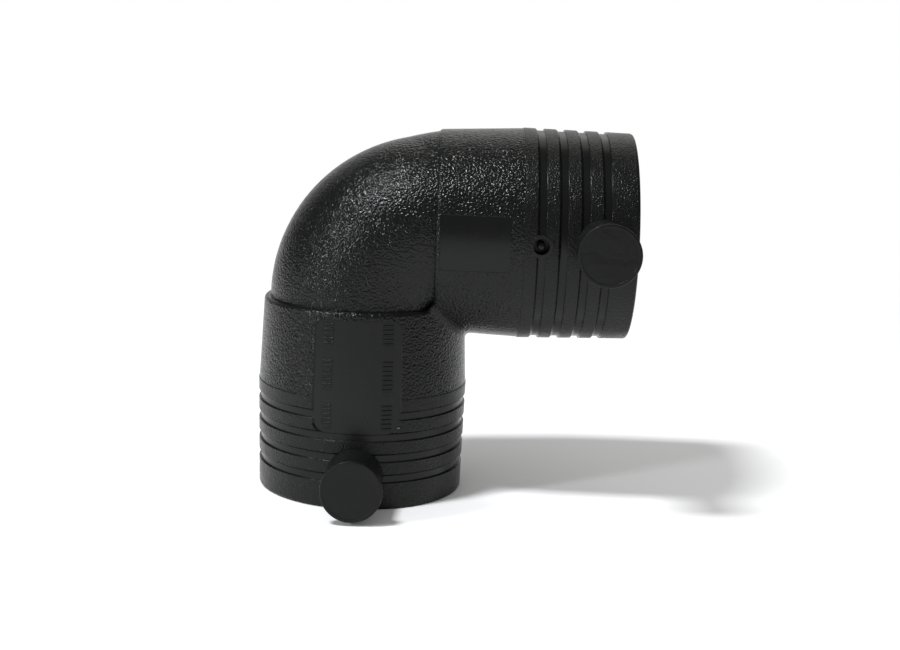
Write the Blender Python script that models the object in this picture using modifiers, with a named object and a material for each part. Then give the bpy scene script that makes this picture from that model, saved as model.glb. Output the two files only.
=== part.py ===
"""Electrofusion elbow, 90 degrees, for 63 mm polyethylene pipe. Metres, +Z up.

The elbow stands on the mouth of its lower socket. The other socket points along +X, and both
terminals point along -Y. Everything is built about the point where the two socket axes cross,
then carried by one empty to the place that puts the origin at the bottom centre of the part.
"""

import math

import bmesh
import bpy
from mathutils import Matrix, Vector

MM = 0.001

# Sockets, seen from the crossing of their axes, with the walls at the first band, step and mouth
PIPE_RADIUS = 31.5 * MM
BORE_CLEARANCE = 0.4 * MM
BORE_CHAMFER = 1.6 * MM
FACE_DISTANCE = 100.8 * MM
INSERTION_DEPTH = 60.6 * MM
BAND_WALL = 8.6 * MM
COLLAR_WALL = 7.0 * MM
MOUTH_WALL = 7.6 * MM
MOUTH_ROUNDING = 1.2 * MM

# Bend
BEND_RADIUS = 27.0 * MM
BEND_WALL = 11.4 * MM
PASSAGE_RADIUS = 25.2 * MM
STEP_ROUNDING = 1.6 * MM
STEP_CORNER_RADIUS = 4.0 * MM
CROTCH_FILLET = 3.2 * MM

# Blend on the outer side of the bend, where it runs up onto the collar of the side socket
BLEND_START = 12.5 * MM
BLEND_END = 36.5 * MM
BLEND_RAISED = 7.0 * MM
BLEND_SUNK = 0.1 * MM
BLEND_SLOPE_AT_START = 0.27
BLEND_SLOPE_AT_END = 0.05

# Clamping bands, counted from the mouth
GROOVE_COUNT = 4
MOUTH_BAND_LENGTH = 10.1 * MM
GROOVE_PITCH = 7.87 * MM
GROOVE_FLOOR = 2.0 * MM
GROOVE_SHOULDER = 1.4 * MM
GROOVE_DEPTH = 0.8 * MM

# Plain label recess on the lower socket and smooth pad on the side socket
RECESS_FROM_STEP = 2.8 * MM
RECESS_INTO_BANDS = 13.0 * MM
RECESS_WIDTH_TOP = 29.8 * MM
RECESS_WIDTH_BOTTOM = 32.8 * MM
RECESS_CORNER = 3.4 * MM
RECESS_DEPTH_TOP = 0.2 * MM
PAD_FROM_STEP = 1.7 * MM
PAD_TO_BANDS = 4.9 * MM
PAD_WIDTH = 20.6 * MM
PAD_CORNER = 1.0 * MM
PAD_DEPTH = 0.15 * MM

# Terminals
TERMINAL_FROM_MOUTH = 12.6 * MM
SHROUD_RADIUS = 9.5 * MM
SHROUD_FOOT_RADIUS = 10.8 * MM
SHROUD_BORE_RADIUS = 6.5 * MM
SHROUD_HEIGHT = 15.4 * MM
SHROUD_DEPTH = 16.9 * MM
SHROUD_RIM_CHAMFER = 0.4 * MM
PIN_RADIUS = 2.35 * MM
PIN_BELOW_RIM = 4.5 * MM
PIN_TIP_CHAMFER = 0.6 * MM
PIN_FLANGE_RADIUS = 3.9 * MM
PIN_FLANGE_THICKNESS = 1.2 * MM
PIN_SHANK_RADIUS = 1.5 * MM

# Push-in terminal caps
CAP_RADIUS = 11.35 * MM
CAP_THICKNESS = 2.7 * MM
CAP_ROUNDING = 0.6 * MM
CAP_PLUG_LENGTH = 7.0 * MM
CAP_PLUG_WALL = 1.5 * MM

# Heating wire
WIRE_RADIUS = 0.45 * MM
COIL_TURNS = 8
COIL_PITCH = 3.2 * MM
COIL_STEPS = 18
WIRE_BEND_RADIUS = 3.0 * MM
LINK_DEPTH = 2.9 * MM
LINK_DIVE = 4.0 * MM
LINK_BEYOND_STOP = 0.4 * MM

# Fusion indicator of the side socket
INDICATOR_RADIUS = 1.55 * MM
INDICATOR_LENGTH = 4.2 * MM
INDICATOR_DOME = 0.8 * MM
INDICATOR_SUNK = 0.9 * MM
WELL_RADIUS = 3.0 * MM
WELL_WALL = 1.3 * MM

# Clearance between touching pieces, overlap where solids are joined, and facets
SEAT_GAP = 0.3 * MM
JOIN = 0.5 * MM
ROUND_STEPS = 48
BEND_STEPS = 48
SMALL_STEPS = 28
PIN_STEPS = 16
PASSAGE_SIDES = 10
CORNER_STEPS = 4
FILLET_STEPS = 3
BLEND_STEPS = 6
QUARTER_STEPS = 3
SHARP_ANGLE = math.radians(35)
NEAR = 0.08 * MM

# Sizes that follow from those above
BORE_RADIUS = PIPE_RADIUS + BORE_CLEARANCE
BAND_RADIUS = BORE_RADIUS + BAND_WALL
COLLAR_RADIUS = BORE_RADIUS + COLLAR_WALL
MOUTH_RADIUS = BORE_RADIUS + MOUTH_WALL
BEND_TUBE_RADIUS = PASSAGE_RADIUS + BEND_WALL
STOP_DISTANCE = FACE_DISTANCE - INSERTION_DEPTH
TERMINAL_DISTANCE = FACE_DISTANCE - TERMINAL_FROM_MOUTH
SHROUD_REACH = BAND_RADIUS + SHROUD_HEIGHT
CAP_FACE = SHROUD_REACH + SEAT_GAP + CAP_THICKNESS
CAP_PLUG_RADIUS = SHROUD_BORE_RADIUS - SEAT_GAP
SHROUD_FLOOR = SHROUD_REACH - SHROUD_DEPTH
COIL_RADIUS = (BORE_RADIUS + WIRE_RADIUS) / math.cos(math.pi / COIL_STEPS)
COIL_SEAT_RADIUS = COIL_RADIUS + WIRE_RADIUS + SEAT_GAP
LINK_RADIUS = BORE_RADIUS + LINK_DEPTH
LINK_TURN = STOP_DISTANCE + LINK_BEYOND_STOP
FRONT_ANGLE = -math.pi / 2
COIL_SWEEP = 2 * math.pi * (COIL_TURNS + 1) + FRONT_ANGLE
COIL_END = TERMINAL_DISTANCE - COIL_PITCH * COIL_SWEEP / (2 * math.pi)
LINK_START = COIL_END - WIRE_BEND_RADIUS
SEAT_START = LINK_START - WIRE_RADIUS - SEAT_GAP
SEAT_END = TERMINAL_DISTANCE + PIN_SHANK_RADIUS + 2 * SEAT_GAP
FIRST_BAND_START = FACE_DISTANCE - MOUTH_BAND_LENGTH - GROOVE_COUNT * GROOVE_PITCH
SOCKET_INNER_END = BEND_RADIUS - STEP_CORNER_RADIUS - STEP_ROUNDING
INDICATOR_DISTANCE = FIRST_BAND_START + GROOVE_PITCH - (GROOVE_FLOOR + GROOVE_SHOULDER) / 2

# Frames of the sockets: Z runs outwards along the socket and Y points to the front
LOWER = Matrix.Rotation(math.pi, 4, "X")
SIDE = Matrix.Rotation(math.pi / 2, 4, "Y") @ Matrix.Rotation(math.pi, 4, "Z")
BEND = Matrix.Translation((BEND_RADIUS, 0, -BEND_RADIUS)) @ Matrix.Rotation(-math.pi / 2, 4, "X")


def clear_scene():
    for obj in list(bpy.data.objects):
        bpy.data.objects.remove(obj, do_unlink=True)
    for collection in list(bpy.data.collections):
        bpy.data.collections.remove(collection)


def new_collection(name):
    collection = bpy.data.collections.new(name)
    bpy.context.scene.collection.children.link(collection)
    return collection


def make_material(name, colour, roughness, metallic=0.0):
    material = bpy.data.materials.new(name)
    material.use_nodes = True
    shader = material.node_tree.nodes["Principled BSDF"]
    shader.inputs["Base Color"].default_value = (*colour, 1.0)
    shader.inputs["Roughness"].default_value = roughness
    shader.inputs["Metallic"].default_value = metallic
    return material


def add_object(name, data, collection, matrix=None):
    obj = bpy.data.objects.new(name, data)
    collection.objects.link(obj)
    obj.matrix_world = matrix or Matrix.Identity(4)
    return obj


def on_front(socket, distance):
    """A frame on the socket's axis with its Z pointing to the front."""
    return socket @ Matrix.Translation((0, 0, distance)) @ Matrix.Rotation(-math.pi / 2, 4, "X")


def as_cutter(obj):
    obj.hide_render = True
    obj.display_type = "WIRE"
    return obj


def turned(name, profile, steps, collection, matrix):
    """A solid turned about its local Z. The profile (radius, height) runs from the top down."""
    mesh = bpy.data.meshes.new(name)
    edges = [(i, i + 1) for i in range(len(profile) - 1)]
    mesh.from_pydata([(radius, 0, height) for radius, height in profile], edges, [])
    obj = add_object(name, mesh, collection, matrix)
    screw = obj.modifiers.new("Turn", "SCREW")
    screw.axis = "Z"
    screw.angle = 2 * math.pi
    screw.steps = screw.render_steps = steps
    screw.use_merge_vertices = True
    screw.merge_threshold = 0.000001
    screw.use_smooth_shade = False
    return obj


def cylinder_profile(radius, top, bottom):
    return [(0, top), (radius, top), (radius, bottom), (0, bottom)]


def lay_line(curve, points, radius, resolution):
    """Lays a round bar along a line of points."""
    curve.dimensions = "3D"
    curve.bevel_depth = radius
    curve.bevel_resolution = resolution
    curve.use_fill_caps = True
    spline = curve.splines.new("POLY")
    spline.points.add(len(points) - 1)
    for point, place in zip(spline.points, points):
        point.co = (*place, 1)


def swept(name, points, radius, resolution, collection):
    """The same bar as a closed mesh, which can cut another."""
    curve = bpy.data.curves.new(name + "_path", "CURVE")
    lay_line(curve, points, radius, resolution)
    guide = add_object(name + "_path", curve, collection)
    mesh = evaluated_mesh(guide, name)
    bpy.data.objects.remove(guide, do_unlink=True)
    return add_object(name, mesh, collection)


def evaluated_mesh(obj, name):
    """The object's mesh in its own space, modifiers applied, caps welded, many-sided faces split."""
    graph = bpy.context.evaluated_depsgraph_get()
    mesh = bpy.data.meshes.new_from_object(obj.evaluated_get(graph))
    mesh.name = name
    work = bmesh.new()
    work.from_mesh(mesh)
    bmesh.ops.remove_doubles(work, verts=work.verts, dist=0.000001)
    many_sided = [face for face in work.faces if len(face.verts) > 4]
    bmesh.ops.triangulate(work, faces=many_sided)
    bmesh.ops.recalc_face_normals(work, faces=work.faces)
    work.to_mesh(mesh)
    work.free()
    return mesh


def combine(target, tool, operation):
    """Joins or cuts with another solid at once, and leaves the tool as a cutter."""
    as_cutter(tool)
    modifier = target.modifiers.new(tool.name, "BOOLEAN")
    modifier.operation = operation
    modifier.solver = "EXACT"
    modifier.object = tool
    mesh = evaluated_mesh(target, target.name)
    mesh.transform(target.matrix_world)
    target.modifiers.clear()
    target.data = mesh
    target.matrix_world = Matrix.Identity(4)


def shade_round(obj):
    """Applies the turning, then shades smooth between the edges that are really sharp."""
    mesh = evaluated_mesh(obj, obj.name)
    obj.modifiers.clear()
    obj.data = mesh
    mesh.shade_smooth()
    mesh.set_sharp_from_angle(angle=SHARP_ANGLE)


def bevel_edges(obj, chosen, width, segments):
    work = bmesh.new()
    work.from_mesh(obj.data)
    edges = [edge for edge in work.edges if chosen(edge)]
    bmesh.ops.bevel(
        work, geom=edges, offset=width, offset_type="OFFSET", segments=segments, profile=0.5,
        affect="EDGES", clamp_overlap=True,
    )
    work.to_mesh(obj.data)
    work.free()


def quarter_turn():
    """The angles of a rounded edge, from its flat end to its upright end."""
    return [math.pi / 2 * step / QUARTER_STEPS for step in range(QUARTER_STEPS + 1)]


def surface_radius(distance):
    """Radius of the socket's outside over the bands and the collar, leaving out the grooves."""
    if distance >= FIRST_BAND_START:
        share = (distance - FIRST_BAND_START) / (FACE_DISTANCE - FIRST_BAND_START)
        return BAND_RADIUS - (BAND_RADIUS - MOUTH_RADIUS) * share
    share = (FIRST_BAND_START - distance) / (FIRST_BAND_START - BEND_RADIUS)
    return BAND_RADIUS - (BAND_RADIUS - COLLAR_RADIUS) * share


def socket_profile():
    """The socket's outside from its mouth to its collar, as (radius, distance from the crossing)."""
    profile = [(0, FACE_DISTANCE)]
    for angle in quarter_turn():
        profile.append((
            MOUTH_RADIUS - MOUTH_ROUNDING * (1 - math.sin(angle)),
            FACE_DISTANCE - MOUTH_ROUNDING * (1 - math.cos(angle)),
        ))
    for index in range(GROOVE_COUNT):
        wall = FACE_DISTANCE - MOUTH_BAND_LENGTH - index * GROOVE_PITCH
        floor_end = wall - GROOVE_FLOOR
        shoulder = floor_end - GROOVE_SHOULDER
        profile += [
            (surface_radius(wall), wall),
            (surface_radius(wall) - GROOVE_DEPTH, wall),
            (surface_radius(floor_end) - GROOVE_DEPTH, floor_end),
            (surface_radius(shoulder), shoulder),
        ]
    profile += [
        (BAND_RADIUS, FIRST_BAND_START),
        (surface_radius(SOCKET_INNER_END), SOCKET_INNER_END),
        (0, SOCKET_INNER_END),
    ]
    return profile


def bore_profile():
    """The socket's inside: chamfered mouth, pipe bore, seat of the coil and the pipe stop."""
    entry = BORE_RADIUS + BORE_CHAMFER / 2
    return [
        (0, FACE_DISTANCE + JOIN),
        (entry, FACE_DISTANCE + JOIN),
        (entry, FACE_DISTANCE),
        (BORE_RADIUS, FACE_DISTANCE - BORE_CHAMFER),
        (BORE_RADIUS, SEAT_END),
        (COIL_SEAT_RADIUS, SEAT_END),
        (COIL_SEAT_RADIUS, SEAT_START),
        (BORE_RADIUS, SEAT_START),
        (BORE_RADIUS, STOP_DISTANCE),
        (0, STOP_DISTANCE),
    ]


def bend_profile():
    """The bend's section outside the bend axis: more than half a circle, closed by the axis."""
    half = math.acos(-BEND_RADIUS / BEND_TUBE_RADIUS)
    count = ROUND_STEPS // 2
    profile = []
    for step in range(count + 1):
        angle = half - 2 * half * step / count
        radius = BEND_RADIUS + BEND_TUBE_RADIUS * math.cos(angle)
        profile.append((radius if 0 < step < count else 0, BEND_TUBE_RADIUS * math.sin(angle)))
    return profile


def blend_height(share):
    """Height of the blend over the side axis, an even curve from the bend up to the collar."""
    length = BLEND_END - BLEND_START
    outer = BEND_RADIUS + BEND_TUBE_RADIUS
    low = math.sqrt(outer**2 - (BEND_RADIUS - BLEND_START) ** 2) - BEND_RADIUS - BLEND_SUNK
    high = surface_radius(BLEND_END) - BLEND_SUNK
    eased = share**2 * (3 - 2 * share)
    start_lift = BLEND_SLOPE_AT_START * length * share * (1 - share) ** 2
    end_lift = BLEND_SLOPE_AT_END * length * share**2 * (1 - share)
    return low + (high - low) * eased + start_lift - end_lift


def blend_profile():
    """The blend is round about an axis above the side axis, so that it fades out on both flanks."""
    profile = [(0, BLEND_END)]
    for step in reversed(range(BLEND_STEPS + 1)):
        share = step / BLEND_STEPS
        profile.append((
            blend_height(share) - BLEND_RAISED, BLEND_START + (BLEND_END - BLEND_START) * share,
        ))
    return profile + [(0, BLEND_START)]


def floor_profile(start, end, depth_at_start, depth_at_end):
    """A round core that stays a given depth under the socket's outside."""
    profile = [(0, end), (surface_radius(end) - depth_at_end, end)]
    if start < FIRST_BAND_START < end:
        profile.append((BAND_RADIUS - depth_at_end, FIRST_BAND_START))
    return profile + [(surface_radius(start) - depth_at_start, start), (0, start)]


def shroud_profile():
    """The outside of a terminal shroud, with the draft that lets it out of the mould."""
    foot = COIL_SEAT_RADIUS + 2 * JOIN
    return [
        (0, SHROUD_REACH),
        (SHROUD_RADIUS - SHROUD_RIM_CHAMFER, SHROUD_REACH),
        (SHROUD_RADIUS, SHROUD_REACH - SHROUD_RIM_CHAMFER),
        (SHROUD_FOOT_RADIUS, foot),
        (0, foot),
    ]


def shroud_hollow_profile():
    """The room round the pin, and the hole that takes its shank down to the seat of the coil."""
    hole = PIN_SHANK_RADIUS + SEAT_GAP
    return [
        (0, SHROUD_REACH + JOIN),
        (SHROUD_BORE_RADIUS, SHROUD_REACH + JOIN),
        (SHROUD_BORE_RADIUS, SHROUD_FLOOR),
        (hole, SHROUD_FLOOR),
        (hole, COIL_SEAT_RADIUS - 2 * JOIN),
        (0, COIL_SEAT_RADIUS - 2 * JOIN),
    ]


def cap_profile():
    """A push-in cap: a round head with a hollow plug that goes into the shroud."""
    underside = CAP_FACE - CAP_THICKNESS
    plug_end = underside - CAP_PLUG_LENGTH
    inner = CAP_PLUG_RADIUS - CAP_PLUG_WALL
    profile = [(0, CAP_FACE)]
    for angle in quarter_turn():
        profile.append((
            CAP_RADIUS - CAP_ROUNDING * (1 - math.sin(angle)),
            CAP_FACE - CAP_ROUNDING * (1 - math.cos(angle)),
        ))
    return profile + [
        (CAP_RADIUS, underside),
        (CAP_PLUG_RADIUS, underside),
        (CAP_PLUG_RADIUS, plug_end + CAP_ROUNDING),
        (CAP_PLUG_RADIUS - CAP_ROUNDING, plug_end),
        (inner, plug_end),
        (inner, underside),
        (0, underside),
    ]


def pin_profile():
    """A terminal pin: contact, flange on the shroud's floor and shank down to the wire."""
    tip = SHROUD_REACH - PIN_BELOW_RIM
    flange = SHROUD_FLOOR + SEAT_GAP
    return [
        (0, tip),
        (PIN_RADIUS - PIN_TIP_CHAMFER, tip),
        (PIN_RADIUS, tip - PIN_TIP_CHAMFER),
        (PIN_RADIUS, flange + PIN_FLANGE_THICKNESS),
        (PIN_FLANGE_RADIUS, flange + PIN_FLANGE_THICKNESS),
        (PIN_FLANGE_RADIUS, flange),
        (PIN_SHANK_RADIUS, flange),
        (PIN_SHANK_RADIUS, COIL_SEAT_RADIUS),
        (0, COIL_SEAT_RADIUS),
    ]


def indicator_profile():
    """A short post with a domed end."""
    tip = surface_radius(INDICATOR_DISTANCE) - INDICATOR_SUNK
    profile = []
    for angle in quarter_turn():
        profile.append((
            INDICATOR_RADIUS * math.sin(angle),
            tip - INDICATOR_DOME * (1 - math.cos(angle)),
        ))
    return profile + [(INDICATOR_RADIUS, tip - INDICATOR_LENGTH), (0, tip - INDICATOR_LENGTH)]


def rounded_plate(name, start, length, start_width, end_width, rounding, socket, collection):
    """A tapered plate through the front wall of a socket, with its four corners rounded."""
    mesh = bpy.data.meshes.new(name)
    work = bmesh.new()
    bmesh.ops.create_cube(work, size=1)
    near, far = BAND_RADIUS / 2, BAND_RADIUS + 2 * JOIN
    for vert in work.verts:
        width = end_width if vert.co.z > 0 else start_width
        vert.co.x *= width
        vert.co.y = near + (far - near) * (vert.co.y + 0.5)
        vert.co.z = start + length * (vert.co.z + 0.5)
    corners = [edge for edge in work.edges if abs(edge.verts[0].co.y - edge.verts[1].co.y) > JOIN]
    bmesh.ops.bevel(
        work, geom=corners, offset=rounding, offset_type="OFFSET", segments=CORNER_STEPS,
        profile=0.5, affect="EDGES", clamp_overlap=True,
    )
    work.to_mesh(mesh)
    work.free()
    return add_object(name, mesh, collection, socket)


def box(name, low, high, collection):
    mesh = bpy.data.meshes.new(name)
    work = bmesh.new()
    low, high = Vector(low), Vector(high)
    place = Matrix.Translation((low + high) / 2) @ Matrix.Diagonal((*(high - low), 1))
    bmesh.ops.create_cube(work, size=1, matrix=place)
    work.to_mesh(mesh)
    work.free()
    return add_object(name, mesh, collection)


def on_mitre(edge):
    """True on the line where the outsides of the two sockets meet inside the elbow."""
    ends = [vert.co for vert in edge.verts]
    middle = (ends[0] + ends[1]) / 2
    flat = all(abs(place.x + place.z) < NEAR for place in ends)
    return flat and middle.x > SOCKET_INNER_END + NEAR and not edge.is_convex


def on_step_wall(vert):
    """True on the wall of the step between the bend and the sockets, its round corner included."""
    inner = BEND_RADIUS - STEP_CORNER_RADIUS
    across, along = vert.co.x - inner, -vert.co.z - inner
    if across > 0 and along > 0:
        return abs(math.hypot(across, along) - STEP_CORNER_RADIUS) < NEAR
    return abs(max(across, along) - STEP_CORNER_RADIUS) < NEAR


def on_step_rim(edge):
    if not all(on_step_wall(vert) for vert in edge.verts):
        return False
    return sum(all(on_step_wall(vert) for vert in face.verts) for face in edge.link_faces) == 1


def on_step_corner(edge):
    return all(
        abs(vert.co.x - BEND_RADIUS) < NEAR and abs(vert.co.z + BEND_RADIUS) < NEAR
        for vert in edge.verts
    )


def link_points():
    """Half of the link between the coils: from the lower coil to the turn inside the crotch."""
    return [
        Vector((COIL_RADIUS, 0, -LINK_START)),
        Vector((LINK_RADIUS, 0, LINK_DIVE - LINK_START)),
        Vector((LINK_RADIUS, 0, -LINK_TURN)),
    ]


def with_side_half(lower):
    """Adds the side socket's half of a line, which mirrors the lower half across the diagonal."""
    return lower + [Vector((-place.z, place.y, -place.x)) for place in reversed(lower)]


def wire_points():
    """The heating wire: coil of the lower socket, link, coil of the side socket.

    Each coil starts under its terminal and ends on the inner side of the elbow, where it turns
    along the socket.
    """
    turn_off = WIRE_BEND_RADIUS / COIL_RADIUS
    count = round(COIL_SWEEP / (2 * math.pi) * COIL_STEPS)
    coil = []
    for step in range(count + 1):
        share = step / count
        angle = FRONT_ANGLE - (COIL_SWEEP - turn_off) * share
        coil.append((angle, TERMINAL_DISTANCE + (COIL_END - TERMINAL_DISTANCE) * share))
    for turn in quarter_turn()[1:-1]:
        coil.append((
            FRONT_ANGLE - COIL_SWEEP + turn_off * (1 - math.sin(turn)),
            COIL_END - WIRE_BEND_RADIUS * (1 - math.cos(turn)),
        ))
    lower = [
        Vector((COIL_RADIUS * math.cos(angle), COIL_RADIUS * math.sin(angle), -distance))
        for angle, distance in coil
    ]
    return with_side_half(lower + link_points())


def passage_points():
    """Half of the centre line of the passage: from the lower pipe stop to the diagonal."""
    points = [Vector((0, 0, -STOP_DISTANCE - JOIN))]
    steps = BEND_STEPS // 8
    for step in range(steps + 1):
        angle = math.pi / 4 * (step - 0.5) / steps if step else 0.0
        points.append(Vector((
            BEND_RADIUS * (1 - math.cos(angle)), 0, -BEND_RADIUS * (1 - math.sin(angle)),
        )))
    return points


def join_bend(body, tools):
    """Cuts the sockets back round the bend, rounds the rim of that step, adds the bend and its blend."""
    reach = FACE_DISTANCE
    room = box("bend_room", (-reach, -reach, -BEND_RADIUS), (BEND_RADIUS, reach, reach), tools)
    bevel_edges(room, on_step_corner, STEP_CORNER_RADIUS, CORNER_STEPS)
    combine(body, room, "DIFFERENCE")
    bevel_edges(body, on_step_rim, STEP_ROUNDING, FILLET_STEPS)

    bend = turned("bend", bend_profile(), BEND_STEPS, tools, BEND)
    limit = BEND_RADIUS + JOIN
    quarter = box("bend_quarter", (-reach, -reach, -limit), (limit, reach, reach), tools)
    combine(bend, quarter, "INTERSECT")
    combine(body, bend, "UNION")
    raised = SIDE @ Matrix.Translation((BLEND_RAISED, 0, 0))
    combine(body, turned("outer_blend", blend_profile(), ROUND_STEPS, tools, raised), "UNION")


def cut_label_recess(body, tools):
    """The plain label recess, which runs from the collar into the bands at the depth of their grooves."""
    start = BEND_RADIUS + RECESS_FROM_STEP
    end = FIRST_BAND_START + RECESS_INTO_BANDS
    recess = rounded_plate(
        "label_recess", start, end - start, RECESS_WIDTH_TOP, RECESS_WIDTH_BOTTOM, RECESS_CORNER,
        LOWER, tools,
    )
    core = floor_profile(start - JOIN, end + JOIN, RECESS_DEPTH_TOP, GROOVE_DEPTH)
    combine(recess, turned("label_floor", core, ROUND_STEPS, tools, LOWER), "DIFFERENCE")
    combine(body, recess, "DIFFERENCE")


def cut_smooth_pad(body, tools):
    start = BEND_RADIUS + PAD_FROM_STEP
    end = FIRST_BAND_START - PAD_TO_BANDS
    pad = rounded_plate(
        "smooth_pad", start, end - start, PAD_WIDTH, PAD_WIDTH, PAD_CORNER, SIDE, tools,
    )
    core = floor_profile(start - JOIN, end + JOIN, PAD_DEPTH, PAD_DEPTH)
    combine(pad, turned("pad_floor", core, ROUND_STEPS, tools, SIDE), "DIFFERENCE")
    combine(body, pad, "DIFFERENCE")


def cut_passage(body, tools):
    """Opens the bend between the two pipe stops, and the channel of the wire inside the crotch."""
    passage = swept("passage", with_side_half(passage_points()), PASSAGE_RADIUS, PASSAGE_SIDES, tools)
    combine(body, passage, "DIFFERENCE")
    channel = swept("link_channel", with_side_half(link_points()), WIRE_RADIUS + SEAT_GAP, 1, tools)
    combine(body, channel, "DIFFERENCE")


def build_body(parts, tools):
    """The moulded body: two sockets, the bend, two terminal shrouds and the indicator's boss."""
    body = turned("elbow_body", socket_profile(), ROUND_STEPS, parts, LOWER)
    combine(body, turned("side_socket", socket_profile(), ROUND_STEPS, tools, SIDE), "UNION")
    bevel_edges(body, on_mitre, CROTCH_FILLET, FILLET_STEPS)
    join_bend(body, tools)

    sockets = (("lower", LOWER), ("side", SIDE))
    for name, socket in sockets:
        terminal = on_front(socket, TERMINAL_DISTANCE)
        shroud = turned(name + "_shroud", shroud_profile(), SMALL_STEPS, tools, terminal)
        combine(body, shroud, "UNION")
    indicator = on_front(SIDE, INDICATOR_DISTANCE)
    boss_top = surface_radius(INDICATOR_DISTANCE)
    boss = cylinder_profile(WELL_RADIUS + WELL_WALL, boss_top, boss_top - INDICATOR_LENGTH)
    combine(body, turned("indicator_boss", boss, SMALL_STEPS, tools, indicator), "UNION")
    cut_label_recess(body, tools)
    cut_smooth_pad(body, tools)

    for name, socket in sockets:
        combine(body, turned(name + "_bore", bore_profile(), ROUND_STEPS, tools, socket), "DIFFERENCE")
        terminal = on_front(socket, TERMINAL_DISTANCE)
        hollow = turned(name + "_hollow", shroud_hollow_profile(), SMALL_STEPS, tools, terminal)
        combine(body, hollow, "DIFFERENCE")
    well_floor = boss_top - INDICATOR_SUNK - INDICATOR_LENGTH - SEAT_GAP
    well = cylinder_profile(WELL_RADIUS, boss_top + JOIN, well_floor)
    combine(body, turned("indicator_well", well, SMALL_STEPS, tools, indicator), "DIFFERENCE")
    cut_passage(body, tools)
    shade_round(body)
    return body


def build_wire(parts):
    curve = bpy.data.curves.new("heating_wire", "CURVE")
    lay_line(curve, wire_points(), WIRE_RADIUS, 1)
    return add_object("heating_wire", curve, parts)


def build():
    clear_scene()
    parts = new_collection("electrofusion_elbow")
    tools = new_collection("cutters")
    plastic = make_material("black_polyethylene", (0.012, 0.012, 0.013), 0.45)
    cap_plastic = make_material("black_cap_plastic", (0.016, 0.016, 0.017), 0.5)
    brass = make_material("terminal_brass", (0.72, 0.52, 0.24), 0.3, 1.0)
    copper_alloy = make_material("resistance_wire", (0.75, 0.42, 0.26), 0.35, 1.0)

    indicator = turned(
        "fusion_indicator", indicator_profile(), PIN_STEPS, parts, on_front(SIDE, INDICATOR_DISTANCE),
    )
    made = [(build_body(parts, tools), plastic), (build_wire(parts), copper_alloy), (indicator, plastic)]
    shade_round(indicator)
    for name, socket in (("lower", LOWER), ("side", SIDE)):
        terminal = on_front(socket, TERMINAL_DISTANCE)
        pin = turned("terminal_pin_" + name, pin_profile(), PIN_STEPS, parts, terminal)
        cap = turned("terminal_cap_" + name, cap_profile(), SMALL_STEPS, parts, terminal)
        shade_round(pin)
        shade_round(cap)
        made += [(pin, brass), (cap, cap_plastic)]

    frame = bpy.data.objects.new("axis_crossing", None)
    parts.objects.link(frame)
    for obj, material in made:
        obj.data.materials.append(material)
    for obj in list(parts.objects) + list(tools.objects):
        if obj is not frame:
            obj.parent = frame
    frame.location = (
        (BAND_RADIUS - FACE_DISTANCE) / 2, (CAP_FACE - BAND_RADIUS) / 2, FACE_DISTANCE,
    )


build()
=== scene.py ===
"""Looks of the electrofusion elbow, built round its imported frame. Metres, +Z up."""

import math
from collections import namedtuple

import bmesh
import bpy
from mathutils import Matrix, Vector
from mathutils.bvhtree import BVHTree


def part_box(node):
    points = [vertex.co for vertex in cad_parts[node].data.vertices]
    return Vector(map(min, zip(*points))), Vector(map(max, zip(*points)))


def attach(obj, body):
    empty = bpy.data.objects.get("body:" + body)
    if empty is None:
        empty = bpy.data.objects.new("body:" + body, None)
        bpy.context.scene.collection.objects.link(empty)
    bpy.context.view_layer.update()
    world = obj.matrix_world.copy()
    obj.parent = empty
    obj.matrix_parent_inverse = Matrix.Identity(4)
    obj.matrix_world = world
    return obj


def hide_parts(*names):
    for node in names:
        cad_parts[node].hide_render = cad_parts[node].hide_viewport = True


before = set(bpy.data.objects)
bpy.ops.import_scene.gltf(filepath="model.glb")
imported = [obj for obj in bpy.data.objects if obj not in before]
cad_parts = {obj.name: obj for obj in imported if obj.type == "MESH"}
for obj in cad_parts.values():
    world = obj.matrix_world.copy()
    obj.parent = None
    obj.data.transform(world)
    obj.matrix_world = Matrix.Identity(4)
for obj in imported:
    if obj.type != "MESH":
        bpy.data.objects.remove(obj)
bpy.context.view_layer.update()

MM = 0.001

# Sockets: radii, and distances along the socket from the crossing of the two axes
BORE_RADIUS = 31.9 * MM
BORE_CHAMFER = 1.6 * MM
BAND_RADIUS = 40.5 * MM
COLLAR_RADIUS = 38.9 * MM
MOUTH_RADIUS = 39.5 * MM
MOUTH_ROUNDING = 1.2 * MM
INSERTION_DEPTH = 60.6 * MM
EDGE_ROUNDING = 0.14 * MM

# Bend
BEND_RADIUS = 27.0 * MM
BEND_TUBE_RADIUS = 36.6 * MM
PASSAGE_RADIUS = 25.2 * MM
STEP_ROUNDING = 1.6 * MM
STEP_CORNER_RADIUS = 4.0 * MM
CROTCH_FILLET = 3.0 * MM
CROTCH_WIDTH = 64.0 * MM

# Blend on the outer side of the bend, where it runs up onto the collar of the side socket
BLEND_START = 12.5 * MM
BLEND_END = 36.5 * MM
BLEND_RAISED = 7.0 * MM
BLEND_SUNK = 0.1 * MM
BLEND_SLOPE_AT_START = 0.27
BLEND_SLOPE_AT_END = 0.05

# Clamping bands, counted from the mouth
GROOVE_COUNT = 4
MOUTH_BAND_LENGTH = 10.1 * MM
GROOVE_PITCH = 7.87 * MM
GROOVE_FLOOR = 2.6 * MM
GROOVE_SHOULDER = 0.8 * MM
GROOVE_DEPTH = 0.8 * MM
BAND_STEP = 0.22 * MM

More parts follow.
